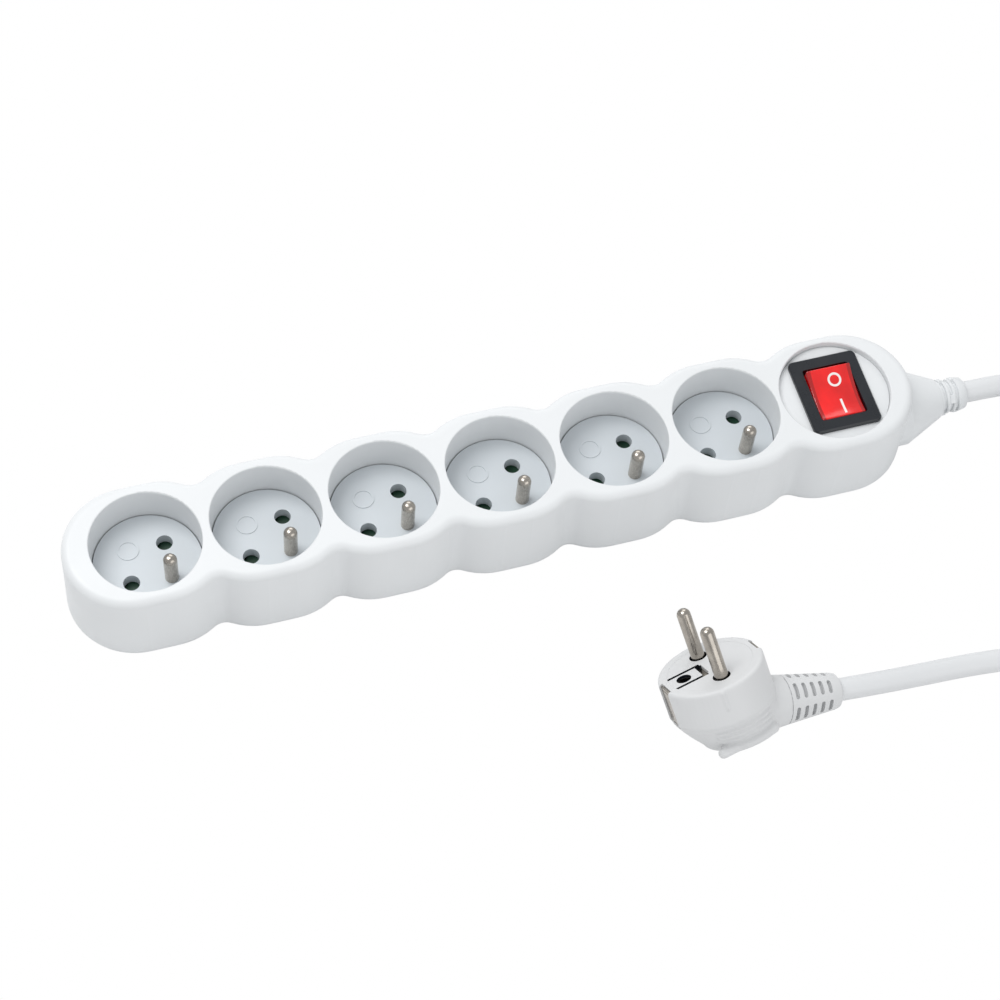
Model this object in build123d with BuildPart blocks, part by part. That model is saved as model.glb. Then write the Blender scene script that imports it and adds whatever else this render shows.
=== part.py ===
"""Six-way power strip with pin-earth sockets, a lit double-pole rocker switch and a moulded angled plug.

Frame: X along the strip towards the switch and the cord, Y across it, Z up.
The origin is on the table under the middle of the body. Sizes are in millimetres.
"""

from build123d import *
from math import cos, sin, tan, radians, pi
import os

os.makedirs("parts", exist_ok=True)

# ---- body -------------------------------------------------------------------------------------
socket_count = 6
socket_pitch = 41.7
switch_pitch = 41.2
lobe_radius = 24.4  # shoulders of each module, at the table
lobe_flat = 5.0  # half the straight side between a module's two shoulders
waist_radius = 5.2
body_height = 37.0
side_draft = 1.4  # degrees
base_round = 5.3
top_round = 3.0
split_height = 10.0  # parting plane of the two covers
top_wall = 2.2
base_wall = 3.4
roof = 2.4
base_floor = 2.2
lip_height = 1.4
lip_gap = 0.15

# ---- sockets ----------------------------------------------------------------------------------
recess_radius = 19.2
recess_depth = 15.0
well_wall = 1.6
contact_spacing = 19.0
contact_hole_radius = 2.9
pin_radius = 2.4
earth_offset = 10.0
earth_pin_length = 14.0
earth_pin_step = 0.5  # its shank under the floor is this much thinner
contact_angle = 42.0  # of the line through the two contact holes, from X
insert_gap = 0.4
insert_lip = 2.4
flange_radius = 20.6
flange_thickness = 2.0
mark_radius = 3.8
mark_width = 0.7
mark_height = 0.3
mark_offset = 8.5
rim_round = 0.5
collar = 0.9
collar_height = 1.6
dome = 0.92  # share of a pin's radius that its rounded end takes

# ---- shutters ---------------------------------------------------------------------------------
shutter_length = 26.4
shutter_width = 6.8
shutter_thickness = 2.7
shutter_gap = 0.3
rail_width = 2.0
rail_length = 17.0
ledge = 1.4
ledge_thickness = 0.9
spring_radius = 1.5
spring_wire = 0.5
spring_room = 10.8
spring_post_width = 8.0
spring_post_thickness = 1.8
ramp = 1.0
rail_back = 3.8
peg_radius = 0.9
peg_length = 2.6

# ---- contacts ---------------------------------------------------------------------------------
contact_wall = 0.8
contact_slack = 0.05
contact_slit = 1.2
contact_bottom = 5.0
contact_top = 13.0
bar_thickness = 0.8
bar_bottom = 6.0
bar_top = 11.0
earth_bar_bottom = 10.3
earth_bar_top = 13.1
earth_ring_bottom = 9.0
bar_end_gap = 0.4
rib_thickness = 1.6

# ---- screws -----------------------------------------------------------------------------------
screw_radius = 1.4
screw_head_radius = 2.9
screw_head_height = 2.0
screw_length = 16.0
screw_seat = 5.5
screw_clearance = 0.1
top_post_radius = 2.9
base_post_radius = 4.0
screw_side = 14.6
cross_width = 0.9
cross_depth = 1.2
end_screw_x = 14.15  # from the middle of the switch
end_screw_y = 16.0

# ---- switch -----------------------------------------------------------------------------------
switch_well_radius = 20.05
plate_gap = 0.15
plate_sink = 2.4
plate_thickness = 2.0
ledge_radius = 17.8
switch_ledge = 2.6
bezel_width = 25.6
bezel_length = 30.6
bezel_height = 1.6
bezel_round = 2.0
bezel_chamfer = 0.4
rocker_round = 0.7
housing_width = 22.0
housing_length = 27.0
housing_bottom = 12.0
housing_gap = 0.1
rocker_opening_width = 17.4
rocker_opening_length = 21.8
rocker_opening_round = 1.0
housing_floor = 2.0
rocker_width = 16.6
rocker_half = 9.7
rocker_pivot_height = 31.8
rocker_valley = 4.0  # top of the rocker above its pivot, at the middle
rocker_angle = 10.0  # tilt to each side, and slope of each half
rocker_skirt = 1.0
rocker_belly = 3.2
rocker_belly_half = 4.0
pivot_radius = 1.5
pivot_gap = 0.06
pivot_length = 1.3
pole_offset = 4.5
plunger_radius = 1.5
plunger_tip = 10.0
lever_height = 21.0
lever_half = 8.0
lever_thickness = 1.0
lever_axle = 0.65
lever_width = 4.0
lever_ratio = 0.8
contact_block = 3.6
saddle_half = 1.5
ridge_half = 0.3
ridge_gap = 0.15
fixed_contact_top = 19.0
fixed_contact_y = 8.1
fixed_contact_depth = 2.2
blade_thickness = 0.8
blade_bottom = 6.0
blade_gap = 0.1
lamp_radius = 1.9
lamp_bottom = 14.0
lamp_top = 26.5
lamp_y = -5.0

# ---- cable entry ------------------------------------------------------------------------------
cable_height = 14.5
boss_base_radius = 14.2
boss_end_radius = 7.4
boss_length = 14.4
relief_root_radius = 6.4
relief_end_radius = 5.8
relief_length = 10.6
relief_ring = 1.0
relief_groove = 1.7
relief_groove_depth = 0.8
relief_grooves = 3
relief_groove_pitch = 2.9
relief_hub_radius = 5.2
relief_flange_radius = 7.0
relief_flange_thickness = 1.6
cord_diameter = 8.0
jacket_offset = 15.65  # from the switch to where the sheath begins inside the body
clamp_offset = 20.15  # from the switch
clamp_width = 5.0
clamp_half = 9.5
clamp_top = 20.0
clamp_gap = 0.05
clamp_pinch = 0.8
clamp_screw_offset = 6.7
wire_radius = 1.2
wire_bend = 2.4
wire_touch = 0.05

# ---- plug -------------------------------------------------------------------------------------
plug_face = (47.7, -89.9, 30.0)
plug_pin_direction = (-0.198, 0.623, 0.757)
plug_earth_direction = (-0.975, -0.201, -0.090)
plug_radius = 18.5
plug_edge = 1.2
plug_pin_length = 19.0
plug_pin_step = 0.2  # its root in the plug is this much larger
plug_depth = 28.0
plug_straight = 13.0
plug_back_half = 12.6
plug_back_length = 16.0
plug_back_shift = -3.0
plug_back_round = 2.5
plug_core_radius = 15.0
plug_core_depth = 9.0
core_gap = 0.05
plug_pin_root = 12.0
plug_earth_hole_radius = 2.6
plug_earth_hole_depth = 17.0
strap_width = 7.0
strap_thickness = 0.8
strap_inner = 4.6
strap_outer = 17.6
strap_drop = 14.0
strap_sink = 0.5
strap_gap = 0.6
neck_y, neck_z = -12.0, -21.8
neck_radius = 9.6
neck_length = 9.0
relief_tilt = 18.0  # of the cord's way out, from the plug's face plane towards its back
plug_relief_root = 9.0
plug_relief_end = 5.4
plug_relief_length = 20.5
slot_rows = 4
slot_count = 5
slot_pitch = 3.4
slot_width = 1.5
slot_depth = 1.5
slot_start = 2.6
slot_angle = 50.0

# ---- cord -------------------------------------------------------------------------------------
coil_x, coil_y = 242.5, -58.0
coil_lift = 0.8
coil_round = 3.2
coil_inner, coil_outer = 35.6, 54.0  # middle of the innermost and outermost turns
coil_entry = 52.0  # middle of the outermost turn in the upper layer
coil_layer = 8.2  # height from one layer of turns to the next
tie_width = 12.0
tie_thickness = 0.6
tie_side_gap = 0.9
tie_round = 3.0

# ---- worked out from the above ---------------------------------------------------------------
row = (socket_count - 1) * socket_pitch
first_socket = -(row + switch_pitch) / 2
socket_x = [first_socket + i * socket_pitch for i in range(socket_count)]
switch_x = first_socket + row + switch_pitch
module_x = socket_x + [switch_x]
waist_x = [(a + b) / 2 for a, b in zip(module_x, module_x[1:])]
body_half = switch_x + lobe_flat + lobe_radius
floor_height = body_height - recess_depth
flange_bottom = floor_height - insert_lip - flange_thickness
along = Vector(cos(radians(contact_angle)), sin(radians(contact_angle)))
towards_earth = Vector(along.Y, -along.X)
hole_x, hole_y = along.X * contact_spacing / 2, along.Y * contact_spacing / 2
earth_x, earth_y = towards_earth.X * earth_offset, towards_earth.Y * earth_offset
shank_radius = pin_radius - earth_pin_step
jacket_start = switch_x + jacket_offset
clamp_x = switch_x + clamp_offset
cord_radius = cord_diameter / 2
boss_start = body_half - cable_height * tan(radians(side_draft))
boss_end = boss_start + boss_length
relief_end = boss_end + relief_length
screw_spots = [(x, side * screw_side) for x in waist_x[::2] for side in (1, -1)]
screw_spots += [(switch_x + end_screw_x, side * end_screw_y) for side in (1, -1)]
shutter_top = flange_bottom - shutter_gap
shutter_bottom = shutter_top - shutter_thickness
rail_bottom = shutter_bottom - shutter_gap - ledge_thickness
spring_height = (shutter_top + shutter_bottom) / 2
roof_bottom = body_height - roof
plate_top = body_height - plate_sink
plate_bottom = plate_top - plate_thickness
bezel_top = plate_top + bezel_height
finished = []


def finish(part, name):
    """Labels a finished piece and writes it as its own file."""
    part.label = name
    export_step(part, f"parts/{name}.step")
    finished.append(name)


def outline(height, inset=0.0):
    """The scalloped outline of the body at a height above the table, some way in from its outer face."""
    shrink = inset + height * tan(radians(side_draft))
    with BuildSketch(Plane.XY.offset(height)) as scallops:
        for x in module_x:
            with Locations((x, 0)):
                SlotCenterToCenter(2 * lobe_flat, 2 * (lobe_radius - shrink))
        Rectangle(2 * switch_x, lobe_radius)
        corners = [v for v in scallops.vertices() if min(abs(v.X - x) for x in waist_x) < 0.01]
        fillet(corners, radius=waist_radius + shrink)
    return scallops.sketch


def local_plane(x, height):
    """A plane over a socket's middle, its X along the contact holes and its Y away from the earth pin."""
    return Plane(origin=(x, 0, height), x_dir=(along.X, along.Y, 0), z_dir=(0, 0, 1))


# ---- covers -----------------------------------------------------------------------------------
def boss_half(direction):
    """Half of the cone that the cord leaves through: direction 1 makes the upper half, -1 the lower."""
    with BuildSketch(Plane.XY.offset(cable_height)) as profile:
        with BuildLine():
            Polyline(
                (switch_x, 0),
                (boss_end, 0),
                (boss_end, boss_end_radius),
                (boss_start, boss_base_radius),
                (switch_x, boss_base_radius),
                close=True,
            )
        make_face()
    revolve(profile.sketch, axis=Axis((0, 0, cable_height), (direction, 0, 0)), revolution_arc=180)


def cable_bore():
    """The passage for the cord's strain relief through the boss and the end wall."""
    with BuildSketch(Plane.YZ.offset(boss_end)) as bore:
        with Locations((0, cable_height)):
            Circle(relief_hub_radius + clamp_gap)
    extrude(bore.sketch, amount=-(boss_end - clamp_x), mode=Mode.SUBTRACT)


def cylinders(spots, radius, bottom, top, mode=Mode.ADD):
    """Upright cylinders of one size at several places."""
    with BuildSketch(Plane.XY.offset(bottom)) as discs:
        with Locations(*spots):
            Circle(radius)
    extrude(discs.sketch, amount=top - bottom, mode=mode)


with BuildPart() as bottom_cover:
    extrude(outline(0), amount=split_height, taper=side_draft)
    fillet(bottom_cover.faces().sort_by(Axis.Z)[0].edges(), radius=base_round)
    boss_half(-1)
    extrude(outline(split_height), amount=split_height, taper=side_draft, mode=Mode.SUBTRACT)
    extrude(outline(base_floor, base_wall), amount=split_height, mode=Mode.SUBTRACT)
    extrude(outline(split_height, top_wall + lip_gap), amount=lip_height)
    extrude(outline(split_height, base_wall), amount=lip_height, mode=Mode.SUBTRACT)
    cylinders(screw_spots, base_post_radius, base_floor, split_height)
    cylinders(screw_spots, top_post_radius + lip_gap, split_height, split_height + lip_height, Mode.SUBTRACT)
    cylinders(screw_spots, screw_head_radius + screw_clearance, 0, screw_seat, Mode.SUBTRACT)
    cylinders(screw_spots, screw_radius + screw_clearance, screw_seat, split_height, Mode.SUBTRACT)
    with BuildSketch(Plane.XY.offset(base_floor)):  # ribs that carry the contact bars
        with Locations(*[(x, 0) for x in waist_x[:-1]]):
            Rectangle(rib_thickness, contact_spacing + 2 * bar_thickness)
    extrude(amount=bar_bottom - base_floor)
    with BuildSketch(Plane.XY.offset(base_floor)):  # saddle under the cable clamp
        with Locations((clamp_x, 0)):
            Rectangle(clamp_width, 2 * clamp_half)
    extrude(amount=cable_height - clamp_pinch / 2 - base_floor)
    with BuildSketch(Plane.YZ.offset(clamp_x + clamp_width)):
        with Locations((0, cable_height)):
            Circle(cord_radius + clamp_gap)
    extrude(amount=-2 * clamp_width, mode=Mode.SUBTRACT)
    clamp_screws_at = [(clamp_x, side * clamp_screw_offset) for side in (1, -1)]
    cylinders(clamp_screws_at, screw_radius + clamp_gap, bar_bottom, cable_height, Mode.SUBTRACT)
    cable_bore()
finish(bottom_cover.part, "bottom_cover")

with BuildPart() as top_cover:
    extrude(outline(split_height), amount=body_height - split_height, taper=side_draft)
    fillet(top_cover.faces().sort_by(Axis.Z)[-1].edges(), radius=top_round)
    boss_half(1)
    extrude(outline(split_height, top_wall), amount=roof_bottom - split_height, mode=Mode.SUBTRACT)
    wells = [(x, 0) for x in socket_x]
    cylinders(wells, recess_radius + well_wall, floor_height - insert_lip, roof_bottom)
    cylinders([(switch_x, 0)], switch_well_radius + well_wall, plate_bottom - switch_ledge, roof_bottom)
    cylinders(screw_spots, top_post_radius, split_height, roof_bottom)
    cylinders(wells, recess_radius, split_height, body_height, Mode.SUBTRACT)
    cylinders([(switch_x, 0)], switch_well_radius, plate_bottom, body_height, Mode.SUBTRACT)
    cylinders([(switch_x, 0)], ledge_radius, split_height, body_height, Mode.SUBTRACT)
    rims = top_cover.faces().sort_by(Axis.Z)[-1].inner_wires().edges()
    fillet(rims, radius=rim_round)
    pilot_top = screw_seat + screw_length
    cylinders(screw_spots, screw_radius + clamp_gap, split_height, pilot_top, Mode.SUBTRACT)
    cable_bore()
finish(top_cover.part, "top_cover")

# ---- sockets ----------------------------------------------------------------------------------
for number, x in enumerate(socket_x, 1):
    holes = [(x + side * hole_x, side * hole_y) for side in (1, -1)]
    with BuildPart() as insert:
        cylinders([(x, 0)], recess_radius - insert_gap, floor_height - insert_lip, floor_height)
        cylinders([(x, 0)], flange_radius, flange_bottom, floor_height - insert_lip)
        with BuildSketch(local_plane(x, rail_bottom)):  # rails the shutter slides between
            for side in (1, -1):
                rail_middle = side * (shutter_length / 2 + shutter_gap + rail_width / 2)
                with Locations((rail_middle, rail_length / 2 - rail_back)):
                    Rectangle(rail_width, rail_length)
            with Locations((0, shutter_width / 2 + spring_room + spring_post_thickness / 2)):
                Rectangle(spring_post_width, spring_post_thickness)
        extrude(amount=flange_bottom - rail_bottom)
        with BuildSketch(local_plane(x, rail_bottom)):  # ledges under the shutter's ends
            for side in (1, -1):
                with Locations((side * (shutter_length / 2 + shutter_gap), rail_length / 2 - rail_back)):
                    Rectangle(2 * ledge, rail_length)
        extrude(amount=ledge_thickness)
        with BuildSketch(local_plane(x, floor_height)):  # plain raised ring
            with Locations((0, mark_offset)):
                Circle(mark_radius)
                Circle(mark_radius - mark_width, mode=Mode.SUBTRACT)
        extrude(amount=mark_height)
        cylinders(holes, contact_hole_radius, flange_bottom, floor_height, Mode.SUBTRACT)
        earth_spot = [(x + earth_x, earth_y)]
        cylinders(earth_spot, shank_radius + contact_slack, flange_bottom, floor_height, Mode.SUBTRACT)
    finish(insert.part, f"socket_insert_{number}")

    with BuildPart() as earth_pin:
        pin_top = floor_height + earth_pin_length
        cylinders(earth_spot, pin_radius, floor_height, pin_top)
        fillet(earth_pin.faces().sort_by(Axis.Z)[-1].edges(), radius=pin_radius * dome)
        cylinders(earth_spot, shank_radius, earth_ring_bottom, floor_height)
        cylinders(earth_spot, shank_radius + collar, flange_bottom - collar_height, flange_bottom)
    finish(earth_pin.part, f"earth_pin_{number}")

    with BuildPart() as shutter:
        with BuildSketch(local_plane(x, shutter_bottom)):
            Rectangle(shutter_length, shutter_width)
        extrude(amount=shutter_thickness)
        top_face = shutter.faces().sort_by(Axis.Z)[-1]
        top_edges = top_face.edges().filter_by(lambda edge: edge.length > shutter_width + 1)
        chamfer(top_edges, length=ramp)
        peg_plane = Plane(
            origin=Vector(x, 0, spring_height) - towards_earth * (shutter_width / 2 - ramp),
            z_dir=(-towards_earth.X, -towards_earth.Y, 0),
        )
        with BuildSketch(peg_plane):
            Circle(peg_radius)
        extrude(amount=ramp + peg_length)
    finish(shutter.part, f"shutter_{number}")

    spring_plane = Plane(
        origin=Vector(x, 0, spring_height) - towards_earth * (shutter_width / 2),
        z_dir=(-towards_earth.X, -towards_earth.Y, 0),
    )
    with BuildPart() as shutter_spring:
        with BuildSketch(spring_plane):
            Circle(spring_radius)
            Circle(spring_radius - spring_wire, mode=Mode.SUBTRACT)
        extrude(amount=spring_room)
    finish(shutter_spring.part, f"shutter_spring_{number}")


# ---- contact bars -----------------------------------------------------------------------------
def contact_bar(name, spots, bore, tube_bottom, tube_top, bar_y, bottom, top):
    """A flat bar on edge, along the strip, with a split contact tube at each spot."""
    bar_start = spots[0][0] - pin_radius
    bar_end = waist_x[-1] - bar_end_gap
    with BuildPart() as bar:
        with BuildSketch(Plane.XY.offset(bottom)):
            with Locations(((bar_start + bar_end) / 2, bar_y)):
                Rectangle(bar_end - bar_start, bar_thickness)
        extrude(amount=top - bottom)
        cylinders(spots, bore + contact_wall, tube_bottom, tube_top)
        cylinders(spots, bore, tube_bottom, tube_top, Mode.SUBTRACT)
        slit_side = -1 if bar_y > spots[0][1] else 1
        with BuildSketch(Plane.XY.offset(tube_bottom)):
            with Locations(*[(sx, sy + slit_side * pin_radius) for sx, sy in spots]):
                Rectangle(contact_slit, 2 * pin_radius)
        extrude(amount=tube_top - tube_bottom, mode=Mode.SUBTRACT)
    finish(bar.part, name)


pin_bore = pin_radius + contact_slack
earth_bore = shank_radius + contact_slack
live_bar_y = hole_y + pin_bore + contact_wall
neutral_bar_y = -hole_y + pin_bore + contact_wall
earth_bar_y = earth_y - earth_bore - contact_wall
live_spots = [(x + hole_x, hole_y) for x in socket_x]
neutral_spots = [(x - hole_x, -hole_y) for x in socket_x]
earth_spots = [(x + earth_x, earth_y) for x in socket_x]
mains_bars = (
    ("live_busbar", live_spots, live_bar_y),
    ("neutral_busbar", neutral_spots, neutral_bar_y),
)
for name, spots, bar_y in mains_bars:
    contact_bar(name, spots, pin_bore, contact_bottom, contact_top, bar_y, bar_bottom, bar_top)
contact_bar(
    "earth_busbar",
    earth_spots,
    earth_bore,
    earth_ring_bottom,
    earth_bar_top,
    earth_bar_y,
    earth_bar_bottom,
    earth_bar_top,
)

# ---- switch -----------------------------------------------------------------------------------
with BuildPart() as switch_plate:
    cylinders([(switch_x, 0)], switch_well_radius - plate_gap, plate_bottom, plate_top)
    with BuildSketch(Plane.XY.offset(plate_bottom)):
        with Locations((switch_x, 0)):
            Rectangle(housing_width + 2 * housing_gap, housing_length + 2 * housing_gap)
    extrude(amount=plate_thickness, mode=Mode.SUBTRACT)
finish(switch_plate.part, "switch_plate")

pivot = Vector(switch_x, 0, rocker_pivot_height)
with BuildPart() as switch_housing:
    with BuildSketch(Plane.XY.offset(housing_bottom)):
        with Locations((switch_x, 0)):
            Rectangle(housing_width, housing_length)
    extrude(amount=plate_top - housing_bottom)
    with BuildSketch(Plane.XY.offset(plate_top)):
        with Locations((switch_x, 0)):
            RectangleRounded(bezel_width, bezel_length, bezel_round)
    extrude(amount=bezel_height)
    chamfer(switch_housing.faces().sort_by(Axis.Z)[-1].edges(), length=bezel_chamfer)
    with BuildSketch(Plane.XY.offset(housing_bottom + housing_floor)):
        with Locations((switch_x, 0)):
            RectangleRounded(rocker_opening_width, rocker_opening_length, rocker_opening_round)
    extrude(amount=bezel_top - housing_bottom, mode=Mode.SUBTRACT)
    with BuildSketch(Plane.YZ.offset(switch_x - housing_width / 2)):
        with Locations((0, rocker_pivot_height)):
            Circle(pivot_radius + pivot_gap)
    extrude(amount=housing_width, mode=Mode.SUBTRACT)
    blade_spots = [
        (switch_x + side * pole_offset, y) for side in (1, -1) for y in (0, fixed_contact_y)
    ]
    with BuildSketch(Plane.XY.offset(housing_bottom)):
        with Locations(*blade_spots):
            Rectangle(contact_block + 2 * blade_gap, blade_thickness + 2 * blade_gap)
    extrude(amount=housing_floor, mode=Mode.SUBTRACT)
finish(switch_housing.part, "switch_housing")

rocker_end_top = rocker_valley + rocker_half * tan(radians(rocker_angle))
rocker_plane = Plane(
    origin=pivot - Vector(rocker_width / 2, 0, 0),
    x_dir=(0, cos(radians(rocker_angle)), sin(radians(rocker_angle))),
    z_dir=(1, 0, 0),
)
with BuildPart() as switch_rocker:
    with BuildSketch(rocker_plane):
        with BuildLine():
            Polyline(
                (-rocker_half, rocker_end_top),
                (0, rocker_valley),
                (rocker_half, rocker_end_top),
                (rocker_half, -rocker_skirt),
                (rocker_belly_half, -rocker_belly),
                (-rocker_belly_half, -rocker_belly),
                (-rocker_half, -rocker_skirt),
                close=True,
            )
        make_face()
    extrude(amount=rocker_width)
    end_edges = switch_rocker.edges().filter_by(Axis.X).sort_by(Axis.Z)
    near_edge = end_edges.group_by(Axis.Y)[0].sort_by(Axis.Z)[-1:]
    fillet(end_edges.group_by(Axis.Z)[-1] + near_edge, radius=rocker_round)
    with BuildSketch(Plane(origin=pivot - Vector(rocker_width / 2 + pivot_length, 0, 0), z_dir=(1, 0, 0))):
        Circle(pivot_radius)
    extrude(amount=rocker_width + 2 * pivot_length)
finish(switch_rocker.part, "switch_rocker")

tilted = Plane(
    origin=pivot,
    x_dir=(1, 0, 0),
    z_dir=(0, -sin(radians(rocker_angle)), cos(radians(rocker_angle))),
)
with BuildPart() as switch_plungers:
    with BuildSketch(tilted.offset(-plunger_tip)):
        with Locations(*[(side * pole_offset, 0) for side in (1, -1)]):
            Circle(plunger_radius)
    extrude(amount=plunger_tip - rocker_belly)
    tips = switch_plungers.edges().filter_by(GeomType.CIRCLE).group_by(Axis.Z)[0]
    fillet(tips, radius=plunger_radius * dome)
finish(switch_plungers.part, "switch_plungers")

for number, side in enumerate((1, -1), 1):
    lever_tilt = radians(rocker_angle * lever_ratio)
    lever_plane = Plane(
        origin=(switch_x + side * pole_offset, 0, lever_height),
        x_dir=(1, 0, 0),
        z_dir=(0, sin(lever_tilt), cos(lever_tilt)),
    )
    with BuildPart() as contact_lever:
        with BuildSketch(lever_plane.offset(-lever_thickness / 2)):
            Rectangle(lever_width, 2 * lever_half)
        extrude(amount=lever_thickness)
        with BuildSketch(Plane.YZ.offset(switch_x + side * pole_offset - lever_width / 2)):
            with Locations((0, lever_height)):
                Circle(lever_axle)
        extrude(amount=lever_width)
    finish(contact_lever.part, f"contact_lever_{number}")

with BuildPart() as switch_terminals:
    saddle_top = lever_height - lever_axle - ridge_gap
    terminal_floor = housing_bottom + housing_floor
    with BuildSketch(Plane.XY.offset(blade_bottom)):
        with Locations(*blade_spots):
            Rectangle(contact_block, blade_thickness)
    extrude(amount=terminal_floor - blade_bottom)
    for side in (1, -1):
        start = switch_x + side * pole_offset - contact_block / 2
        with BuildSketch(Plane.YZ.offset(start)):
            with BuildLine():
                Polyline(
                    (-saddle_half, terminal_floor),
                    (saddle_half, terminal_floor),
                    (saddle_half, saddle_top - saddle_half),
                    (ridge_half, saddle_top),
                    (-ridge_half, saddle_top),
                    (-saddle_half, saddle_top - saddle_half),
                    close=True,
                )
            make_face()
            with Locations((fixed_contact_y, (terminal_floor + fixed_contact_top) / 2)):
                Rectangle(fixed_contact_depth, fixed_contact_top - terminal_floor)
        extrude(amount=contact_block)
finish(switch_terminals.part, "switch_terminals")

with BuildPart() as switch_lamp:
    cylinders([(switch_x, lamp_y)], lamp_radius, lamp_bottom, lamp_top)
    fillet(switch_lamp.faces().sort_by(Axis.Z)[-1].edges(), radius=lamp_radius * dome)
finish(switch_lamp.part, "switch_lamp")

# ---- screws -----------------------------------------------------------------------------------
with BuildPart() as housing_screws:
    cylinders(screw_spots, screw_head_radius, screw_seat - screw_head_height, screw_seat)
    cylinders(screw_spots, screw_radius, screw_seat, screw_seat + screw_length)
    with BuildSketch(Plane.XY.offset(screw_seat - screw_head_height)):
        with Locations(*screw_spots):
            Rectangle(2 * screw_head_radius * dome, cross_width)
            Rectangle(cross_width, 2 * screw_head_radius * dome)
    extrude(amount=cross_depth, mode=Mode.SUBTRACT)
finish(housing_screws.part, "housing_screws")

# ---- cable entry ------------------------------------------------------------------------------
with BuildPart() as cable_clamp:
    clamp_low = cable_height + clamp_pinch / 2
    with BuildSketch(Plane.XY.offset(clamp_low)):
        with Locations((clamp_x, 0)):
            Rectangle(clamp_width, 2 * clamp_half)
    extrude(amount=clamp_top - clamp_low)
    with BuildSketch(Plane.YZ.offset(clamp_x + clamp_width)):
        with Locations((0, cable_height)):
            Circle(cord_radius + clamp_gap)
    extrude(amount=-2 * clamp_width, mode=Mode.SUBTRACT)
    cylinders(clamp_screws_at, screw_radius + screw_clearance, clamp_low, clamp_top, Mode.SUBTRACT)
finish(cable_clamp.part, "cable_clamp")

with BuildPart() as clamp_screws:
    cylinders(clamp_screws_at, screw_head_radius, clamp_top, clamp_top + screw_head_height)
    cylinders(clamp_screws_at, screw_radius, bar_bottom, clamp_top)
finish(clamp_screws.part, "clamp_screws")

with BuildPart() as cable_gland:
    hub_start = clamp_x + clamp_width / 2 + shutter_gap
    with BuildSketch(Plane.XY.offset(cable_height)):
        with BuildLine():
            Polyline(
                (hub_start, 0),
                (relief_end, 0),
                (relief_end, relief_end_radius),
                (boss_end, relief_root_radius),
                (boss_end, relief_hub_radius),
                (hub_start + relief_flange_thickness, relief_hub_radius),
                (hub_start + relief_flange_thickness, relief_flange_radius),
                (hub_start, relief_flange_radius),
                close=True,
            )
        make_face()
        for groove in range(relief_grooves):
            groove_x = boss_end + relief_ring + groove * relief_groove_pitch
            with Locations((groove_x + relief_groove / 2, relief_root_radius)):
                Rectangle(relief_groove, 2 * relief_groove_depth, mode=Mode.SUBTRACT)
    revolve(axis=Axis((0, 0, cable_height), (1, 0, 0)))
    with BuildSketch(Plane.YZ.offset(hub_start)):
        with Locations((0, cable_height)):
            Circle(cord_radius + clamp_gap)
    extrude(amount=relief_end - hub_start, mode=Mode.SUBTRACT)
finish(cable_gland.part, "cable_gland")


# ---- wires ------------------------------------------------------------------------------------
def tube(name, points, radius, bends):
    """A round tube along straight runs joined by arcs."""
    with BuildPart() as run:
        with BuildLine() as path:
            FilletPolyline(*points, radius=bends)
        with BuildSketch(path.line ^ 0):
            Circle(radius)
        sweep()
    finish(run.part, name)
    length = sum(edge.length for edge in path.edges())
    share = run.part.volume / (pi * radius * radius * length)
    print(name, "length", round(length, 1), "volume over section times length", round(share, 4))


blade_height = 8.0
blade_edge = contact_block / 2 + wire_touch
east_pole, west_pole = switch_x + pole_offset, switch_x - pole_offset
bar_end_x = waist_x[-1] - bar_end_gap + wire_touch
core_side = 1.7
tube(
    "supply_live_wire",
    [
        (jacket_start, core_side, cable_height + 1.0),
        (switch_x + 13.35, 3.4, 11.5),
        (switch_x + 10.65, 7.2, blade_height),
        (east_pole + blade_edge, fixed_contact_y, blade_height),
    ],
    wire_radius,
    wire_bend,
)
tube(
    "supply_neutral_wire",
    [
        (jacket_start, 0, cable_height - core_side),
        (switch_x + 12.55, 0.2, 8.5),
        (switch_x + 8.15, 0.8, 4.2),
        (switch_x - 3.85, 4.4, 3.9),
        (switch_x - 9.65, 8.6, 5.0),
        (west_pole - blade_edge, fixed_contact_y, blade_height),
    ],
    wire_radius,
    wire_bend / 2,
)
tube(
    "switched_live_wire",
    [
        (east_pole - blade_edge, 0, blade_height),
        (switch_x - 0.65, 2.8, 7.8),
        (switch_x - 12.85, 4.4, 8.2),
        (bar_end_x, live_bar_y, blade_height + 0.4),
    ],
    wire_radius,
    wire_bend,
)
tube(
    "switched_neutral_wire",
    [
        (west_pole - blade_edge, 0, blade_height),
        (switch_x - 12.35, -1.4, 8.2),
        (bar_end_x, neutral_bar_y, blade_height + 0.4),
    ],
    wire_radius,
    wire_bend,
)
tube(
    "earth_wire",
    [
        (jacket_start, -core_side, cable_height + 1.0),
        (switch_x + 12.75, -5.4, 11.0),
        (switch_x + 5.65, -9.0, 4.4),
        (switch_x - 10.85, -10.2, 6.4),
        (bar_end_x, earth_bar_y, (earth_bar_bottom + earth_bar_top) / 2),
    ],
    wire_radius,
    wire_bend,
)

# ---- plug -------------------------------------------------------------------------------------
pins_up = Vector(*plug_pin_direction).normalized()
earth_way = Vector(*plug_earth_direction)
earth_way = (earth_way - pins_up * earth_way.dot(pins_up)).normalized()
face = Plane(origin=plug_face, x_dir=earth_way.cross(pins_up), z_dir=pins_up)
way_out = (earth_way * -cos(radians(relief_tilt)) - pins_up * sin(radians(relief_tilt))).normalized()
neck_start = face.from_local_coords(Vector(0, neck_y, neck_z))
neck = Plane(origin=neck_start, x_dir=face.x_dir, z_dir=way_out)
relief = neck.offset(neck_length)
plug_cord_exit = neck_start + way_out * (neck_length + plug_relief_length)


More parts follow.
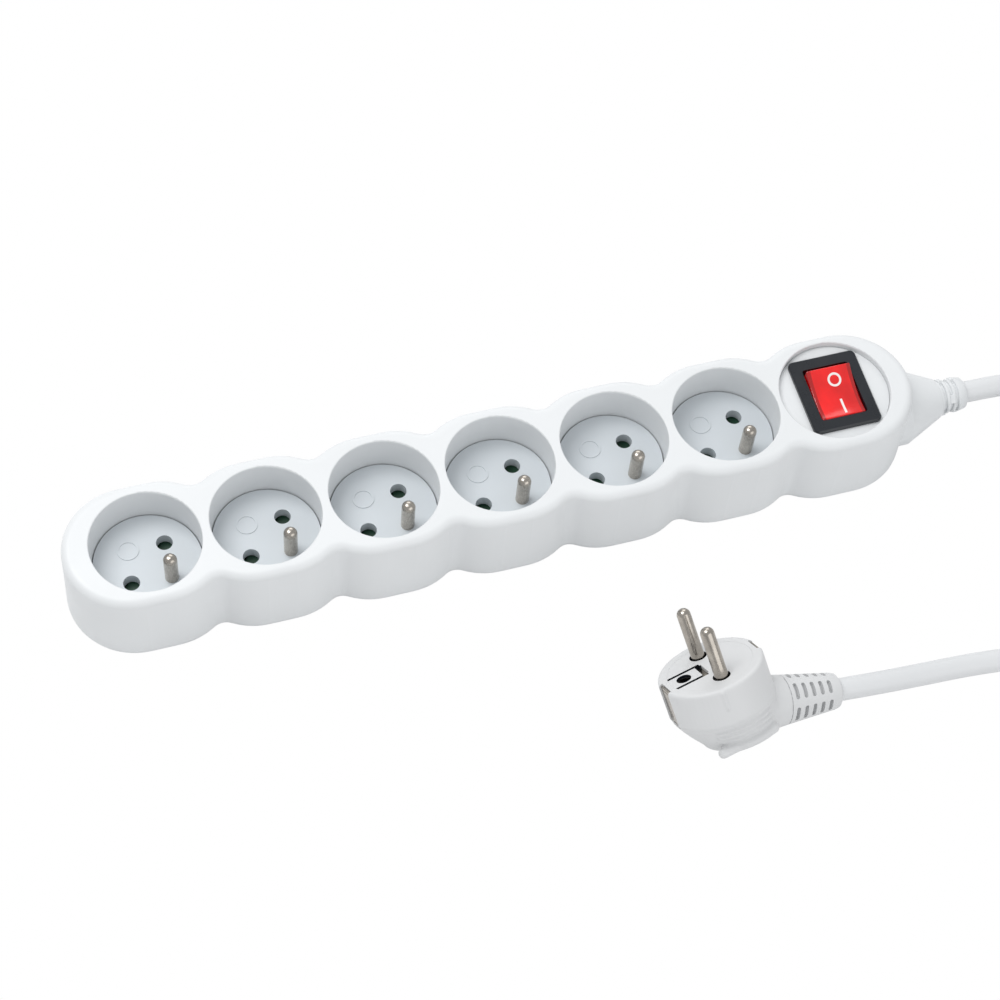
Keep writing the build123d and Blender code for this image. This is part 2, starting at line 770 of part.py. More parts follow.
def face_holes(spots, radius, top, bottom, mode=Mode.SUBTRACT):
    """Cylinders along the plug's pins, from a depth under its face to a deeper one."""
    with BuildSketch(face.offset(top)) as discs:
        with Locations(*spots):
            Circle(radius)
    extrude(discs.sketch, amount=bottom - top, mode=mode)


def strap_slot(side, inner, width, top, bottom, mode):
    """A block at one edge of the plug's face, for the earth strap on that side."""
    with BuildSketch(face.offset(top)) as block:
        with Locations((0, side * (inner + plug_radius) / 2)):
            Rectangle(width, plug_radius - inner)
    extrude(block.sketch, amount=bottom - top, mode=mode)


pin_spots = [(side * contact_spacing / 2, 0) for side in (1, -1)]
strap_room = strap_width + 2 * strap_gap
side_inner = strap_outer - strap_thickness - strap_gap
root_radius = pin_radius + plug_pin_step
with BuildPart() as plug_body:
    with BuildSketch(face):
        Circle(plug_radius)
    extrude(amount=-plug_straight)
    with BuildSketch(face.offset(-plug_straight)):
        Circle(plug_radius)
    with BuildSketch(face.offset(-plug_depth)):
        with Locations((0, plug_back_shift)):
            Ellipse(plug_back_half, plug_back_length)
    loft()
    back = plug_body.faces().filter_by(lambda f: abs(face.to_local_coords(f.center()).Z + plug_depth) < 0.01)
    fillet(back.edges(), radius=plug_back_round)
    rim = plug_body.faces().filter_by(lambda f: abs(face.to_local_coords(f.center()).Z) < 0.01)
    fillet(rim.edges(), radius=plug_edge)
    with BuildSketch(neck):
        Circle(neck_radius)
    with BuildSketch(relief):
        Circle(plug_relief_root)
    loft()
    face_holes([(0, 0)], plug_core_radius + core_gap, 0, -plug_core_depth)
    face_holes([(0, earth_offset)], plug_earth_hole_radius, -plug_core_depth, -plug_earth_hole_depth)
    face_holes(pin_spots, root_radius + contact_slack, -plug_core_depth, -plug_pin_root)
    for side in (1, -1):
        strap_slot(side, side_inner, strap_room, 0, -strap_drop - strap_gap, Mode.SUBTRACT)
    strap_slot(1, strap_inner, strap_room, 0, -strap_sink - strap_thickness, Mode.SUBTRACT)
finish(plug_body.part, "plug_body")

with BuildPart() as plug_core:
    face_holes([(0, 0)], plug_core_radius, 0, -plug_core_depth, Mode.ADD)
    face_holes(pin_spots, root_radius + contact_slack, 0, -plug_core_depth)
    face_holes([(0, earth_offset)], plug_earth_hole_radius, 0, -plug_core_depth)
    plate_depth = strap_sink + strap_thickness
    strap_slot(1, strap_inner - strap_gap, strap_room, 0, -plate_depth, Mode.SUBTRACT)
finish(plug_core.part, "plug_core")

for number, spot in enumerate(pin_spots, 1):
    with BuildPart() as plug_pin:
        face_holes([spot], pin_radius, 0, plug_pin_length, Mode.ADD)
        tip = plug_pin.faces().sort_by(lambda f: face.to_local_coords(f.center()).Z)[-1]
        fillet(tip.edges(), radius=pin_radius * dome)
        face_holes([spot], root_radius, -plug_pin_root, 0, Mode.ADD)
    finish(plug_pin.part, f"plug_pin_{number}")

with BuildPart() as plug_earth_straps:
    for side, inner in ((1, strap_inner), (-1, strap_outer - strap_thickness)):
        with BuildSketch(face.offset(-strap_sink)):
            with Locations((0, side * (inner + strap_outer) / 2)):
                Rectangle(strap_width, strap_outer - inner)
        extrude(amount=-strap_thickness)
        with BuildSketch(face.offset(-strap_sink)):
            with Locations((0, side * (strap_outer - strap_thickness / 2))):
                Rectangle(strap_width, strap_thickness)
        extrude(amount=strap_sink - strap_drop)
    face_holes([(0, earth_offset)], plug_earth_hole_radius, 0, -plug_core_depth)
finish(plug_earth_straps.part, "plug_earth_straps")

with BuildPart() as plug_strain_relief:
    with BuildSketch(relief):
        Circle(plug_relief_root)
    with BuildSketch(relief.offset(plug_relief_length)):
        Circle(plug_relief_end)
    loft()
    for ring in range(slot_count):
        ring_plane = relief.offset(slot_start + ring * slot_pitch)
        ring_radius = plug_relief_root - (plug_relief_root - plug_relief_end) * (
            (slot_start + ring * slot_pitch + slot_width) / plug_relief_length
        )
        with BuildSketch(ring_plane):
            for row_number in range(slot_rows):
                with BuildLine():
                    middle = row_number * 360 / slot_rows + 45
                    outer = CenterArc((0, 0), ring_radius + slot_depth, middle - slot_angle / 2, slot_angle)
                    inner = CenterArc((0, 0), ring_radius - slot_depth, middle - slot_angle / 2, slot_angle)
                    Line(outer @ 0, inner @ 0)
                    Line(outer @ 1, inner @ 1)
                make_face()
        extrude(amount=slot_width, mode=Mode.SUBTRACT)
finish(plug_strain_relief.part, "plug_strain_relief")


# ---- cord -------------------------------------------------------------------------------------
def bend_radii(points):
    """For each corner of a cord's route, as large an arc as its two runs allow."""
    radii = []
    for before, corner, after in zip(points, points[1:], points[2:]):
        run_in, run_out = Vector(*corner) - Vector(*before), Vector(*after) - Vector(*corner)
        half_turn = radians(run_in.get_angle(run_out)) / 2
        radii.append(0.45 * min(run_in.length, run_out.length) / tan(half_turn))
    return radii


def cord_run(name, points):
    """A stretch of cord that isn't coiled."""
    radii = bend_radii(points)
    print(name, "radii", [round(r) for r in radii])
    tube(name, points, cord_radius, radii)


with BuildPart() as cord_sheath:
    with BuildSketch(Plane.YZ.offset(jacket_start)):
        with Locations((0, cable_height)):
            Circle(cord_radius)
    extrude(amount=relief_end - jacket_start)
finish(cord_sheath.part, "cord_sheath")

coil_low = cord_radius + coil_lift
coil_high = coil_low + coil_layer
lead_points = [
    (relief_end, 0, cable_height),
    (197.0, -0.2, 13.9),
    (212.0, -1.9, 12.6),
    (227.5, -5.0, 11.8),
    (coil_x, coil_y + coil_entry, coil_high),
]
cord_run("cord_lead", lead_points)

tail_points = [
    tuple(plug_cord_exit),
    (110.0, -101.1, 7.4),
    (127.5, -101.0, 5.2),
    (147.0, -101.4, 4.2),
    (172.0, -104.3, 4.2),
    (204.0, -109.2, 4.3),
    (coil_x, coil_y - coil_outer, coil_low),
]
cord_run("cord_tail", tail_points)

with BuildPart() as cord_coil:
    with BuildSketch(Plane.XZ) as coil_profile:
        with BuildLine():
            Polyline(
                (coil_inner - cord_radius, coil_lift),
                (coil_outer + cord_radius, coil_lift),
                (coil_outer + cord_radius, coil_low + cord_radius),
                (coil_entry + cord_radius, coil_high + cord_radius),
                (coil_inner - cord_radius, coil_high + cord_radius),
                close=True,
            )
        make_face()
        fillet(coil_profile.vertices(), radius=coil_round)
    revolve(axis=Axis.Z)
finish(cord_coil.part.moved(Location((coil_x, coil_y, 0))), "cord_coil")

with BuildPart() as cord_tie:
    tie_inner = coil_inner - cord_radius - tie_side_gap
    tie_outer = coil_outer + cord_radius + lip_gap
    tie_top = coil_high + cord_radius + lip_gap
    with BuildSketch(Plane.XZ.offset(-coil_y - tie_width / 2)):
        with Locations((coil_x + (tie_inner + tie_outer) / 2, (tie_top + tie_thickness) / 2)):
            RectangleRounded(
                tie_outer - tie_inner + 2 * tie_thickness, tie_top + tie_thickness, tie_round
            )
            RectangleRounded(
                tie_outer - tie_inner,
                tie_top - tie_thickness,
                tie_round - tie_thickness,
                mode=Mode.SUBTRACT,
            )
    extrude(amount=tie_width)
finish(cord_tie.part, "cord_tie")

print(len(finished), "pieces written")
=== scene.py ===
"""Six-way power strip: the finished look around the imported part. Lengths are in metres, from millimetres."""

from math import cos, pi, radians, sin, sqrt, tan

import bmesh
import bpy
from mathutils import Matrix, Vector


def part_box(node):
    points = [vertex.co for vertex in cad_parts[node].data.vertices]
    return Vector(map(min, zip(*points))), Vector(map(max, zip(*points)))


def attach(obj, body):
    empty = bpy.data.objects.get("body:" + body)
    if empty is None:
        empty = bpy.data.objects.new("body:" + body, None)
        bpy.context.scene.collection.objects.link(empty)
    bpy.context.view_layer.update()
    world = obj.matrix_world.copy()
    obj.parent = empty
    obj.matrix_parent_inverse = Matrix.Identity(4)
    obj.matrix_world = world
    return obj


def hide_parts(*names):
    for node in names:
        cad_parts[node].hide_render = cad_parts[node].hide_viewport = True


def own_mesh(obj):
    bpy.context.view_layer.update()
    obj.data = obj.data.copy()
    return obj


MM = 0.001
SWITCH_X = 124.85
SOCKET_TURN = radians(42)
CORD_BORE = 4.02 * MM
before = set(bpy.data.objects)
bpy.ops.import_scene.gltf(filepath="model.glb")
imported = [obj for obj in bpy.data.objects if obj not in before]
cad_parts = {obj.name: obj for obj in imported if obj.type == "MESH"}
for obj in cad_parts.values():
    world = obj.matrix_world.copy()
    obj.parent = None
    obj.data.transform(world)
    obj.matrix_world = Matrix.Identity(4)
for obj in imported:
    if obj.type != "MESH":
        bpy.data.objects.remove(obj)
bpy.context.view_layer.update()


# ---- colours ----------------------------------------------------------------------------------
SHELL_WHITE = (0.74, 0.755, 0.765)
FLOOR_WHITE = (0.64, 0.68, 0.71)
PLUG_GREY = (0.66, 0.665, 0.67)
CORD_GREY = (0.70, 0.71, 0.72)
NICKEL = (0.50, 0.46, 0.41)
BRASS = (0.75, 0.55, 0.24)
STEEL = (0.56, 0.57, 0.60)
SHUTTER_GREEN = (0.004, 0.050, 0.022)
FRAME_BLACK_AND_HOLE_SHADE = (0.010, 0.013, 0.018)
LENS_RED = (0.70, 0.004, 0.004)
LENS_PATCH = (0.50, 0.002, 0.002)
# The darker red of the lens's side walls is painted shade.
LENS_SIDE_SHADE = (0.30, 0.001, 0.001)
MARK_WHITE = (0.85, 0.80, 0.78)
# Distances from the switch's middle over which the painted side-wall shade comes in.
LENS_SHADE_START, LENS_SHADE_END = 6.75 * MM, 6.95 * MM
LAMP_RED = (0.9, 0.12, 0.05)
WIRE_BROWN = (0.09, 0.03, 0.012)
WIRE_BLUE = (0.01, 0.07, 0.38)
WIRE_EARTH = (0.25, 0.45, 0.03)
TIE_BLACK = (0.012, 0.012, 0.013)


# ---- material building ------------------------------------------------------------------------
def new_material(name, colour, roughness, **sockets):
    """A principled material with its constant values set on its own sockets."""
    made = bpy.data.materials.new(name)
    made.use_nodes = True
    shader = made.node_tree.nodes["Principled BSDF"]
    shader.inputs["Base Color"].default_value = (*colour, 1)
    shader.inputs["Roughness"].default_value = roughness
    for socket, value in sockets.items():
        shader.inputs[socket.replace("_", " ")].default_value = value
    return made, made.node_tree, shader


def noise(tree, scale, detail=3.0, stretch=(1, 1, 1), turn=(0, 0, 0)):
    """Object-space noise, its scale in cells per metre."""
    where = tree.nodes.new("ShaderNodeTexCoord")
    mapping = tree.nodes.new("ShaderNodeMapping")
    mapping.inputs["Scale"].default_value = stretch
    mapping.inputs["Rotation"].default_value = turn
    texture = tree.nodes.new("ShaderNodeTexNoise")
    texture.inputs["Scale"].default_value = scale
    texture.inputs["Detail"].default_value = detail
    tree.links.new(where.outputs["Object"], mapping.inputs["Vector"])
    tree.links.new(mapping.outputs["Vector"], texture.inputs["Vector"])
    return texture.outputs["Fac"]


def spread(tree, value, low, high):
    """Maps a texture's middle range to the range from low to high."""
    mapped = tree.nodes.new("ShaderNodeMapRange")
    mapped.inputs["From Min"].default_value = 0.3
    mapped.inputs["From Max"].default_value = 0.7
    mapped.inputs["To Min"].default_value = low
    mapped.inputs["To Max"].default_value = high
    tree.links.new(value, mapped.inputs["Value"])
    return mapped.outputs["Result"]


def blend_colours(tree, factor, first, second):
    """A colour between two, by a factor."""
    mix = tree.nodes.new("ShaderNodeMix")
    mix.data_type = "RGBA"
    mix.inputs["A"].default_value = (*first, 1)
    mix.inputs["B"].default_value = (*second, 1)
    tree.links.new(factor, mix.inputs["Factor"])
    return mix.outputs["Result"]


def add_bump(tree, shader, height, strength, distance):
    """Bump from a height, its distance in metres."""
    bump = tree.nodes.new("ShaderNodeBump")
    bump.inputs["Strength"].default_value = strength
    bump.inputs["Distance"].default_value = distance
    tree.links.new(height, bump.inputs["Height"])
    tree.links.new(bump.outputs["Normal"], shader.inputs["Normal"])


def darker(colour, share):
    """The same colour, scaled."""
    return tuple(channel * share for channel in colour)


def moulded_plastic(name, colour, roughness, grain=2600, grain_depth=0.00002, cloud=0.03, **sockets):
    """Injection-moulded plastic: spark-eroded grain, faint flow marks, uneven gloss."""
    made, tree, shader = new_material(name, colour, roughness, **sockets)
    flow = spread(tree, noise(tree, 28, 2, (0.5, 1, 1)), 0, 1)
    shade = blend_colours(tree, flow, darker(colour, 1 - cloud), colour)
    tree.links.new(shade, shader.inputs["Base Color"])
    gloss = spread(tree, noise(tree, 160, 4), roughness - 0.05, roughness + 0.06)
    tree.links.new(gloss, shader.inputs["Roughness"])
    add_bump(tree, shader, noise(tree, grain, 4), 0.35, grain_depth)
    return made


def drawn_metal(name, colour, roughness, along=(1, 1, 0.08), tarnish=0.72):
    """Turned or drawn metal: fine lines along the piece, cloudy tarnish."""
    made, tree, shader = new_material(name, colour, roughness, Metallic=1.0)
    lines = noise(tree, 4200, 3, along)
    cloud = spread(tree, noise(tree, 240, 4), 0, 1)
    shade = blend_colours(tree, cloud, darker(colour, tarnish), colour)
    tree.links.new(shade, shader.inputs["Base Color"])
    tree.links.new(spread(tree, lines, roughness - 0.06, roughness + 0.10), shader.inputs["Roughness"])
    add_bump(tree, shader, lines, 0.25, 0.00001)
    return made


def lit_lens():
    """Red translucent plastic over a lamp: deeper patches, painted shade on its side walls, and a faint painted
    glow.
    """
    made, tree, shader = new_material("lens_red", LENS_RED, 0.16, Coat_Weight=0.6, Coat_Roughness=0.05)
    patches = spread(tree, noise(tree, 120, 3, (1, 0.6, 1)), 0, 1)
    face = blend_colours(tree, patches, LENS_PATCH, LENS_RED)
    where = tree.nodes.new("ShaderNodeTexCoord")
    axes = tree.nodes.new("ShaderNodeSeparateXYZ")
    tree.links.new(where.outputs["Object"], axes.inputs["Vector"])
    offset = tree.nodes.new("ShaderNodeMath")
    offset.operation = "SUBTRACT"
    tree.links.new(axes.outputs["X"], offset.inputs[0])
    offset.inputs[1].default_value = SWITCH_X * MM
    reach = tree.nodes.new("ShaderNodeMath")
    reach.operation = "ABSOLUTE"
    tree.links.new(offset.outputs["Value"], reach.inputs[0])
    # Painted shade: the lens turns darker red towards its side walls.
    side_shade = tree.nodes.new("ShaderNodeMapRange")
    tree.links.new(reach.outputs["Value"], side_shade.inputs["Value"])
    side_shade.inputs["From Min"].default_value = LENS_SHADE_START
    side_shade.inputs["From Max"].default_value = LENS_SHADE_END
    shade = blend_colours(tree, side_shade.outputs["Result"], LENS_RED, LENS_SIDE_SHADE)
    tree.links.new(face, shade.node.inputs["A"])
    tree.links.new(shade, shader.inputs["Base Color"])
    # The lens also emits its own colour faintly: a painted glow.
    tree.links.new(shade, shader.inputs["Emission Color"])
    shader.inputs["Emission Strength"].default_value = 0.35
    shader.inputs["Subsurface Weight"].default_value = 0.2
    shader.inputs["Subsurface Radius"].default_value = (0.004, 0.0004, 0.0004)
    add_bump(tree, shader, noise(tree, 700, 3), 0.12, 0.00003)
    return made


def woven_tape():
    """Hook-and-loop tape: a fine cross weave with a fuzzy sheen."""
    made, tree, shader = new_material("tie_tape", TIE_BLACK, 0.9, Sheen_Weight=0.6, Sheen_Roughness=0.4)
    where = tree.nodes.new("ShaderNodeTexCoord")
    heights = []
    for direction in ("X", "Y"):
        wave = tree.nodes.new("ShaderNodeTexWave")
        wave.bands_direction = direction
        wave.inputs["Scale"].default_value = 420
        wave.inputs["Distortion"].default_value = 1.2
        tree.links.new(where.outputs["Object"], wave.inputs["Vector"])
        heights.append(wave.outputs["Fac"])
    both = tree.nodes.new("ShaderNodeMath")
    both.operation = "MULTIPLY"
    tree.links.new(heights[0], both.inputs[0])
    tree.links.new(heights[1], both.inputs[1])
    shade = blend_colours(tree, both.outputs["Value"], TIE_BLACK, darker(TIE_BLACK, 2.6))
    tree.links.new(shade, shader.inputs["Base Color"])
    add_bump(tree, shader, both.outputs["Value"], 0.8, 0.0002)
    return made


shell_plastic = moulded_plastic("shell_white", SHELL_WHITE, 0.42)
floor_plastic = moulded_plastic("socket_floor_white", FLOOR_WHITE, 0.36, 2000, 0.00002, 0.05)
plug_plastic = moulded_plastic("plug_grey", PLUG_GREY, 0.46, 1900, 0.00004, 0.05)
relief_rubber = moulded_plastic("relief_grey", PLUG_GREY, 0.55, 1400, 0.00006, 0.06)
gland_rubber = moulded_plastic("gland_white", SHELL_WHITE, 0.50, 1400, 0.00005, 0.05)
cord_sheathing = moulded_plastic("cord_pvc", CORD_GREY, 0.38, 900, 0.00006, 0.06)
shutter_plastic = moulded_plastic("shutter_green", SHUTTER_GREEN, 0.35, 2200, 0.00002, 0.3)
# Black plastic for the switch frame, also used as painted shade inside the plug's holes and slots.
black_plastic_and_hole_shade = moulded_plastic("frame_black_and_hole_shade", FRAME_BLACK_AND_HOLE_SHADE, 0.30, 1700, 0.00003, 0.3)
mark_paint = moulded_plastic("mark_white", MARK_WHITE, 0.45, 2400, 0.00001, 0.06)
nickel_plate = drawn_metal("nickel_plate", NICKEL, 0.22)
brass_strip = drawn_metal("brass_strip", BRASS, 0.34, (0.08, 1, 1), 0.6)
zinc_steel = drawn_metal("zinc_steel", STEEL, 0.36, (1, 1, 1), 0.7)
spring_steel = drawn_metal("spring_steel", STEEL, 0.28, (1, 1, 1), 0.6)
lamp_glass = new_material("lamp_glass", LAMP_RED, 0.08, Emission_Strength=1.5)[0]
lamp_glass.node_tree.nodes["Principled BSDF"].inputs["Emission Color"].default_value = (*LAMP_RED, 1)
brown_wire = moulded_plastic("wire_brown", WIRE_BROWN, 0.4, 1200, 0.00003, 0.2)
blue_wire = moulded_plastic("wire_blue", WIRE_BLUE, 0.4, 1200, 0.00003, 0.2)
earth_wire = moulded_plastic("wire_earth", WIRE_EARTH, 0.4, 1200, 0.00003, 0.2)
red_lens = lit_lens()
tie_tape = woven_tape()


# ---- piece building ---------------------------------------------------------------------------
def finish_mesh(name, shape, material, angle=35):
    """Turns a bmesh into an object with smooth faces and edges that are sharp past an angle."""
    mesh = bpy.data.meshes.new(name)
    bmesh.ops.recalc_face_normals(shape, faces=shape.faces)
    shape.to_mesh(mesh)
    shape.free()
    mesh.shade_smooth()
    mesh.set_sharp_from_angle(angle=radians(angle))
    piece = bpy.data.objects.new(name, mesh)
    bpy.context.scene.collection.objects.link(piece)
    mesh.materials.append(material)
    return piece


def place(piece, body, slot, *nodes):
    """Puts a piece on its body and hides the plain solids that it stands for; its finish (the slot) is not
    used.
    """
    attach(piece, body)
    if nodes:
        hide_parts(*nodes)


def basis(origin, x, y, z):
    """The transform from a piece's own axes to the part's frame."""
    turn = Matrix((x, y, z)).transposed().to_4x4()
    return Matrix.Translation(origin) @ turn


def lathe(shape, profile, steps=64):
    """Spins (radius, height) points round Z into a closed ring or, where it starts and ends at 0, a solid."""
    verts = [shape.verts.new((r, 0, h)) for r, h in profile]
    closed = all(r > 1e-7 for r, _ in profile)
    ring = verts + verts[:1] if closed else verts
    edges = [shape.edges.new(pair) for pair in zip(ring, ring[1:])]
    bmesh.ops.spin(
        shape,
        geom=verts + edges,
        cent=(0, 0, 0),
        axis=(0, 0, 1),
        angle=2 * pi,
        steps=steps,
        use_merge=True,
    )
    bmesh.ops.remove_doubles(shape, verts=shape.verts, dist=1e-7)
    return shape


def edges_of(verts):
    """Every edge that meets some points, once."""
    return list({edge for vert in verts for edge in vert.link_edges})


def rod(shape, centre, radius, length, segments=40):
    """A round bar along Z, about its centre."""
    made = bmesh.ops.create_cone(
        shape, cap_ends=True, segments=segments, radius1=radius, radius2=radius, depth=length
    )["verts"]
    bmesh.ops.translate(shape, vec=centre, verts=made)
    return made


def take_in(shape, other, name):
    """Adds another shape's faces to a shape."""
    scratch = bpy.data.meshes.new(name)
    other.to_mesh(scratch)
    other.free()
    shape.from_mesh(scratch)
    bpy.data.meshes.remove(scratch)


def block(shape, centre, size, bevel=0.0, segments=3):
    """A box with rounded edges."""
    made = bmesh.ops.create_cube(shape, size=1)["verts"]
    bmesh.ops.scale(shape, vec=size, verts=made)
    bmesh.ops.translate(shape, vec=centre, verts=made)
    if bevel:
        rounded = bmesh.ops.bevel(
            shape,
            geom=edges_of(made),
            offset=bevel,
            offset_type="OFFSET",
            segments=segments,
            profile=0.5,
            affect="EDGES",
            material=-1,
        )
        kept = {vert for vert in made if vert.is_valid}
        made = list(kept | {vert for face in rounded["faces"] for vert in face.verts})
    return made


def fuse(piece, voxel, passes=2):
    """Fuses a piece's overlapping shells into one moulded skin and softens it."""
    remesh = piece.modifiers.new("fuse", "REMESH")
    remesh.mode = "VOXEL"
    remesh.voxel_size = voxel
    soften = piece.modifiers.new("soften", "SMOOTH")
    soften.factor = 0.5
    soften.iterations = passes
    bake(piece)
    piece.data.shade_smooth()


def bake(piece):
    """Applies a piece's modifiers."""
    bpy.context.view_layer.update()
    evaluated = piece.evaluated_get(bpy.context.evaluated_depsgraph_get())
    mesh = bpy.data.meshes.new_from_object(evaluated)
    mesh.name = piece.name
    piece.modifiers.clear()
    piece.data = mesh


def carve(piece, cutter_shape):
    """Cuts a closed shape out of a piece."""
    cutter = finish_mesh("cutter", cutter_shape, piece.data.materials[0])
    cut = piece.modifiers.new("cut", "BOOLEAN")
    cut.operation = "DIFFERENCE"
    cut.solver = "EXACT"
    cut.object = cutter
    bake(piece)
    bpy.data.objects.remove(cutter)


# ---- carried-over pieces ----------------------------------------------------------------------
def dress(material, *names):
    """Gives CAD pieces their finish."""
    for name in names:
        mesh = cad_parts[name].data
        mesh.materials.clear()
        mesh.materials.append(material)


sockets = range(1, 7)
dress(shell_plastic, "top_cover", "bottom_cover", "switch_plate", "cable_clamp")
dress(floor_plastic, *[f"socket_insert_{n}" for n in sockets])
dress(nickel_plate, *[f"earth_pin_{n}" for n in sockets])
dress(shutter_plastic, *[f"shutter_{n}" for n in sockets])
dress(brass_strip, "live_busbar", "neutral_busbar", "earth_busbar", "switch_terminals")
dress(brass_strip, "contact_lever_1", "contact_lever_2")
dress(zinc_steel, "housing_screws", "clamp_screws")
dress(black_plastic_and_hole_shade, "switch_housing", "switch_plungers")
dress(lamp_glass, "switch_lamp")
dress(brown_wire, "supply_live_wire", "switched_live_wire")
dress(blue_wire, "supply_neutral_wire", "switched_neutral_wire")
dress(earth_wire, "earth_wire")
dress(cord_sheathing, "cord_sheath")


# ---- camera and studio ------------------------------------------------------------------------
def set_camera():
    """The camera, from its place and the directions to the right of and down its picture."""
    camera = bpy.data.cameras.new("camera")
    camera.lens = 88.576
    camera.sensor_width = 36
    camera.clip_start = 0.01
    eye = bpy.data.objects.new("camera", camera)
    right = Vector((0.9580894, -0.2803649, 0.0588237))
    down = Vector((-0.2135904, -0.8359636, -0.5055135))
    ahead = Vector((0.1909027, 0.4717630, -0.8608112))
    eye.matrix_world = basis(Vector((-165.67, -413.49, 765.56)) * MM, right, -down, -ahead)
    bpy.context.scene.collection.objects.link(eye)
    bpy.context.scene.camera = eye


def soft_light(name, place_at, size, power):
    """A square lamp that faces the object."""
    lamp = bpy.data.lights.new(name, "AREA")
    lamp.size = size
    lamp.energy = power
    light = bpy.data.objects.new(name, lamp)
    light.location = place_at
    light.rotation_euler = (-Vector(place_at)).to_track_quat("-Z", "Y").to_euler()
    bpy.context.scene.collection.objects.link(light)


def set_studio():
    """A pale floor that only bounces light, a soft sky, three lamps and a plain white backdrop."""
    shape = bmesh.new()
    bmesh.ops.create_grid(shape, x_segments=1, y_segments=1, size=6)
    bmesh.ops.translate(shape, vec=(0, 0, -0.0002), verts=shape.verts)
    ground = finish_mesh("studio_floor", shape, new_material("studio_floor", (0.8, 0.8, 0.8), 0.9)[0])
    ground.visible_camera = False
    world = bpy.data.worlds.new("studio")
    world.use_nodes = True
    tree = world.node_tree
    sky = tree.nodes["Background"]
    sky.inputs["Color"].default_value = (0.97, 0.985, 1.0, 1)
    sky.inputs["Strength"].default_value = 0.60
    backdrop = tree.nodes.new("ShaderNodeBackground")
    backdrop.inputs["Color"].default_value = (1, 1, 1, 1)
    rays = tree.nodes.new("ShaderNodeLightPath")
    choose = tree.nodes.new("ShaderNodeMixShader")
    tree.links.new(rays.outputs["Is Camera Ray"], choose.inputs["Fac"])
    tree.links.new(sky.outputs["Background"], choose.inputs[1])
    tree.links.new(backdrop.outputs["Background"], choose.inputs[2])
    tree.links.new(choose.outputs["Shader"], tree.nodes["World Output"].inputs["Surface"])
    bpy.context.scene.world = world
    bpy.context.scene.view_settings.view_transform = "Standard"
    soft_light("key", (-0.45, 0.35, 1.1), 0.7, 8.0)
    soft_light("fill", (0.5, -1.1, 0.6), 1.2, 5.0)
    soft_light("back", (0.3, 1.1, 0.7), 0.8, 3.5)


set_camera()
set_studio()

# ---- cord route -------------------------------------------------------------------------------
CORD = 8.0 * MM
CORD_EXIT = (178.9, 0, 14.5)
lead_route = [CORD_EXIT, (197.0, -0.2, 13.9), (212.0, -1.9, 12.6), (227.5, -5.0, 11.8)]
COIL_MIDDLE = (242.5, -58.0)
COIL_ENTRY = 52.0
COIL_LOW, COIL_LAYER, COIL_PITCH = 4.8, 8.2, 8.2
UPPER_TURNS, STEP_TURNS, LOWER_TURNS = 2.0, 0.25, 2.25
POINTS_PER_TURN = 24
tail_route = [
    (204.0, -109.2, 4.3),
    (172.0, -104.3, 4.2),
    (147.0, -101.4, 4.2),
    (127.5, -101.0, 5.2),
    (110.0, -101.1, 7.4),
]


def coil_route():
    """The coil's turns, clockwise from above: an upper layer winds in, and a lower one winds out."""
    total = UPPER_TURNS + STEP_TURNS + LOWER_TURNS
    outward = 1 / cos(pi / POINTS_PER_TURN)
    points = []
    for step in range(round(total * POINTS_PER_TURN) + 1):
        turns = step / POINTS_PER_TURN
        wound = min(turns, UPPER_TURNS)
        stepped = min(max(turns - UPPER_TURNS, 0) / STEP_TURNS, 1)
        unwound = max(turns - UPPER_TURNS - STEP_TURNS, 0)
        radius = COIL_ENTRY - COIL_PITCH * wound + COIL_PITCH * unwound
        ease = stepped * stepped * (3 - 2 * stepped)
        height = COIL_LOW + COIL_LAYER * (1 - ease)
        angle = 2 * pi * turns
        across = radius * outward
        points.append((COIL_MIDDLE[0] + across * sin(angle), COIL_MIDDLE[1] + across * cos(angle), height))
    return points


# ---- plug -------------------------------------------------------------------------------------
PLUG_FACE = Vector((47.7, -89.9, 30.0)) * MM
PIN_WAY = Vector((-0.198, 0.623, 0.757)).normalized()
EARTH_WAY = Vector((-0.975, -0.201, -0.090))
EARTH_WAY = (EARTH_WAY - PIN_WAY * EARTH_WAY.dot(PIN_WAY)).normalized()
SIDE_WAY = EARTH_WAY.cross(PIN_WAY)
RELIEF_TILT = radians(18.0)
RELIEF_WAY = Vector((0, -cos(RELIEF_TILT), -sin(RELIEF_TILT)))
NECK_START = Vector((0, -12.0, -21.8)) * MM
NECK_LENGTH, RELIEF_LENGTH = 9.0 * MM, 20.5 * MM
plug_axes = basis(PLUG_FACE, SIDE_WAY, EARTH_WAY, PIN_WAY)
relief_up = RELIEF_WAY.cross(Vector((1, 0, 0)))
relief_turn = Matrix(((1, 0, 0), tuple(relief_up), tuple(RELIEF_WAY))).transposed().to_4x4()
relief_axes = plug_axes @ Matrix.Translation(NECK_START) @ relief_turn
cord_end = relief_axes @ Vector((0, 0, NECK_LENGTH + RELIEF_LENGTH))

